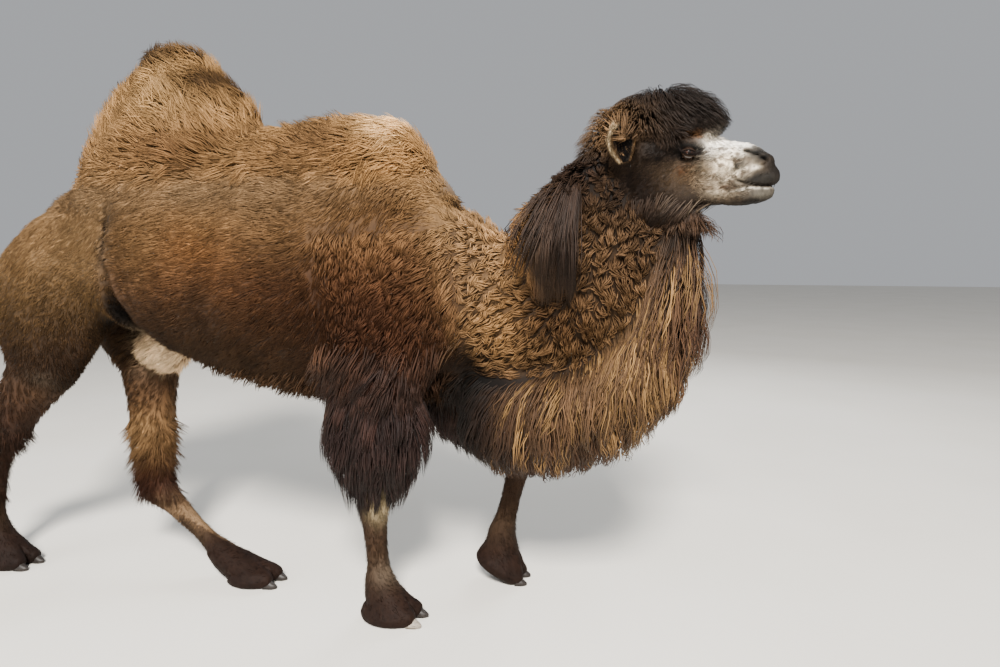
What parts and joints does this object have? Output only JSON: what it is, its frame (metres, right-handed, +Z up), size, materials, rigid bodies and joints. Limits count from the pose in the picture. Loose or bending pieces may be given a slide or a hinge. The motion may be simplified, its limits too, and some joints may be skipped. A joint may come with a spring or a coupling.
{
  "type": "bactrian camel",
  "caption": "Still, life-size two-humped camel in a shaggy winter coat, caught in mid stride and standing on its soles.",
  "frame": {"origin": "middle of the whole animal's base, on the floor", "axes": "+X towards the nose, +Y the animal's left, +Z up"},
  "size_m": [3.1818, 0.81, 2.138],
  "materials": {
    "coat_tan": "shaggy golden winter wool",
    "coat_russet": "dense russet wool",
    "coat_brown": "close brown wool",
    "coat_dark": "long dark hair",
    "coat_pale": "short cream hair on skin",
    "foot_skin": "short dark hair over thick skin",
    "nail": "worn horn",
    "eye": "wet, clear"
  },
  "bodies": {
    "root": {"hump_front": "coat_tan", "hump_rear": "coat_tan", "throat_mane": "coat_tan", "trunk": "coat_russet", "thigh_hind_right": "coat_russet", "thigh_hind_left": "coat_russet", "shoulder_front_right": "coat_russet", "shoulder_front_left": "coat_russet", "neck_lower": "coat_russet", "tail": "coat_russet", "neck_upper": "coat_brown", "cheeks": "coat_brown", "ear_right": "coat_brown", "ear_left": "coat_brown", "cannon_front_right": "coat_brown", "forearm_front_right": "coat_brown", "cannon_front_left": "coat_brown", "forearm_front_left": "coat_brown", "cannon_hind_right": "coat_brown", "gaskin_hind_right": "coat_brown", "cannon_hind_left": "coat_brown", "gaskin_hind_left": "coat_brown", "topknot": "coat_dark", "nape_mane": "coat_dark", "muff_front_right": "coat_dark", "muff_front_left": "coat_dark", "tail_tuft": "coat_dark", "head": "coat_pale", "lower_jaw": "coat_pale", "sheath": "coat_pale", "foot_front_right": "foot_skin", "foot_front_left": "foot_skin", "foot_hind_right": "foot_skin", "foot_hind_left": "foot_skin", "nail_front_right_outer": "nail", "nail_front_right_inner": "nail", "nail_front_left_outer": "nail", "nail_front_left_inner": "nail", "nail_hind_right_outer": "nail", "nail_hind_right_inner": "nail", "nail_hind_left_outer": "nail", "nail_hind_left_inner": "nail", "eye_right": "eye", "eye_left": "eye"}
  },
  "joints": []
}
